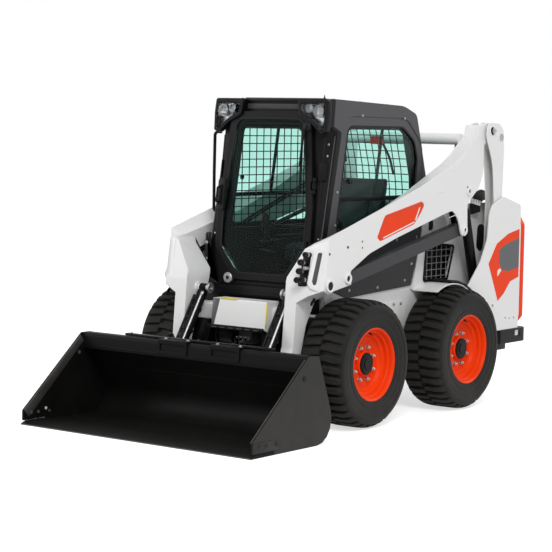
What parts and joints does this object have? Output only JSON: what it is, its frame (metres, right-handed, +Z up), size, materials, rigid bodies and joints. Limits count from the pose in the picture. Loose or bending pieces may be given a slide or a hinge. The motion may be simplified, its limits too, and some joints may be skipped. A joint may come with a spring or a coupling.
{
  "type": "skid steer loader with a smooth bucket and vertical lift arms",
  "caption": "A compact skid steer loader with an enclosed cab, white lift arms, orange wheel rims and a black bucket that lifts and tips on working linkages.",
  "frame": {"origin": "middle of the overall box, on the ground", "axes": "the machine faces -Y, +X is its left side, +Z is up"},
  "size_m": [1.727, 3.378, 1.965],
  "materials": {
    "arm_paint": "satin",
    "cab_paint": "satin",
    "black_paint": "satin",
    "rim_paint": "gloss",
    "tyre_rubber": "matte",
    "bare_steel": "polished",
    "cast_grey": "matte",
    "seat_vinyl": "satin",
    "window_glass": "gloss",
    "moulded_plastic": "matte"
  },
  "bodies": {
    "chassis": {"main_frame": "arm_paint", "engine_block": "cast_grey", "upright_left": "arm_paint", "upright_right": "arm_paint", "rear_side_panel_left": "arm_paint", "rear_side_panel_right": "arm_paint", "side_cover_left": "cab_paint", "side_cover_right": "cab_paint", "rear_bumper": "black_paint", "cab_floor": "cab_paint", "cab_side_left": "cab_paint", "cab_side_right": "cab_paint", "side_glass_left": "window_glass", "side_glass_right": "window_glass", "cab_roof": "cab_paint", "cab_rear": "cab_paint", "rear_glass": "window_glass", "cab_front_frame": "black_paint", "grab_handle": "black_paint", "seat_cushion": "seat_vinyl", "seat_back": "seat_vinyl", "control_console_left": "moulded_plastic", "control_console_right": "moulded_plastic"},
    "front_door": {"front_door_frame": "black_paint", "front_door_glass": "window_glass"},
    "rear_door": {"rear_door": "arm_paint"},
    "hood": {"hood": "cab_paint"},
    "seat_bar": {"seat_bar": "black_paint"},
    "control_links": {"control_link_left": "cab_paint", "control_link_right": "cab_paint"},
    "lift_arms": {"lift_arm_left": "arm_paint", "lift_arm_right": "arm_paint", "arm_cross_tube": "arm_paint", "arm_step": "arm_paint"},
    "rear_links": {"rear_link_left": "arm_paint", "rear_link_right": "arm_paint"},
    "lift_barrels": {"lift_barrel_left": "black_paint", "lift_barrel_right": "black_paint"},
    "lift_rods": {"lift_rod_left": "bare_steel", "lift_rod_right": "bare_steel"},
    "tilt_barrels": {"tilt_barrel_left": "black_paint", "tilt_barrel_right": "black_paint"},
    "tilt_rods": {"tilt_rod_left": "bare_steel", "tilt_rod_right": "bare_steel"},
    "bucket": {"quick_attach": "black_paint", "bucket_shell": "black_paint", "bucket_cutting_edge": "bare_steel"},
    "front_left_wheel": {"wheel_front_left": "rim_paint", "tyre_front_left": "tyre_rubber"},
    "front_right_wheel": {"wheel_front_right": "rim_paint", "tyre_front_right": "tyre_rubber"},
    "rear_left_wheel": {"wheel_rear_left": "rim_paint", "tyre_rear_left": "tyre_rubber"},
    "rear_right_wheel": {"wheel_rear_right": "rim_paint", "tyre_rear_right": "tyre_rubber"}
  },
  "joints": [
    {"name": "front_left_axle", "type": "hinge", "parent": "chassis", "child": "front_left_wheel", "pos_m": [0.624, -0.361, 0.387], "axis": [1, 0, 0], "continuous": true},
    {"name": "front_right_axle", "type": "hinge", "parent": "chassis", "child": "front_right_wheel", "pos_m": [-0.624, -0.361, 0.387], "axis": [1, 0, 0], "continuous": true},
    {"name": "rear_left_axle", "type": "hinge", "parent": "chassis", "child": "rear_left_wheel", "pos_m": [0.624, 0.722, 0.387], "axis": [1, 0, 0], "continuous": true},
    {"name": "rear_right_axle", "type": "hinge", "parent": "chassis", "child": "rear_right_wheel", "pos_m": [-0.624, 0.722, 0.387], "axis": [1, 0, 0], "continuous": true},
    {"name": "lift", "type": "hinge", "parent": "control_links", "child": "lift_arms", "pos_m": [0, 0.891, 1.14], "axis": [-1, 0, 0], "range_deg": [0, 96.85]},
    {"name": "control_link_swing", "type": "hinge", "parent": "chassis", "child": "control_links", "pos_m": [0, -0.45, 0.88], "axis": [1, 0, 0], "range_deg": [0, 30.85]},
    {"name": "rear_link_swing", "type": "hinge", "parent": "chassis", "child": "rear_links", "pos_m": [0, 1.28, 0.6], "axis": [-1, 0, 0], "range_deg": [0, 4.57]},
    {"name": "lift_barrel_swing", "type": "hinge", "parent": "chassis", "child": "lift_barrels", "pos_m": [0, 1.18, 0.56], "axis": [-1, 0, 0], "range_deg": [0, 0.63]},
    {"name": "lift_rod_stroke", "type": "slide", "parent": "lift_barrels", "child": "lift_rods", "axis": [0, -0.2814, 0.9596], "range_m": [0, 0.4754]},
    {"name": "bucket_tilt", "type": "hinge", "parent": "lift_arms", "child": "bucket", "pos_m": [0, -0.87, 0.205], "axis": [1, 0, 0], "range_deg": [-28, 106]},
    {"name": "tilt_barrel_swing", "type": "hinge", "parent": "lift_arms", "child": "tilt_barrels", "pos_m": [0, -0.632, 0.792], "axis": [-1, 0, 0], "range_deg": [-0.14, 0.53]},
    {"name": "tilt_rod_stroke", "type": "slide", "parent": "tilt_barrels", "child": "tilt_rods", "axis": [0, -0.5394, -0.8421], "range_m": [-0.0586, 0.222]},
    {"name": "front_door_swing", "type": "hinge", "parent": "chassis", "child": "front_door", "pos_m": [0.354, -0.45398, 1.3], "axis": [0, -0.0883, -0.9961], "range_deg": [-88, 0]},
    {"name": "rear_door_swing", "type": "hinge", "parent": "chassis", "child": "rear_door", "pos_m": [-0.632, 1.594, 0.84], "axis": [0, 0, -1], "range_deg": [-100, 0]},
    {"name": "hood_lift", "type": "hinge", "parent": "chassis", "child": "hood", "pos_m": [0, 0.791, 1.275], "axis": [-1, 0, 0], "range_deg": [-60, 0]},
    {"name": "seat_bar_swing", "type": "hinge", "parent": "chassis", "child": "seat_bar", "pos_m": [0, 0.64, 1.3], "axis": [1, 0, 0], "range_deg": [-75, 0]}
  ],
  "couplings": [
    {"joint": "control_link_swing", "follows": "lift", "ratio": 0.31853},
    {"joint": "rear_link_swing", "follows": "lift", "ratio": 0.047186},
    {"joint": "lift_barrel_swing", "follows": "lift", "ratio": 0.006505},
    {"joint": "lift_rod_stroke", "follows": "lift", "m_per_rad": 0.28124},
    {"joint": "tilt_barrel_swing", "follows": "bucket_tilt", "ratio": 0.005},
    {"joint": "tilt_rod_stroke", "follows": "bucket_tilt", "m_per_rad": 0.12}
  ]
}
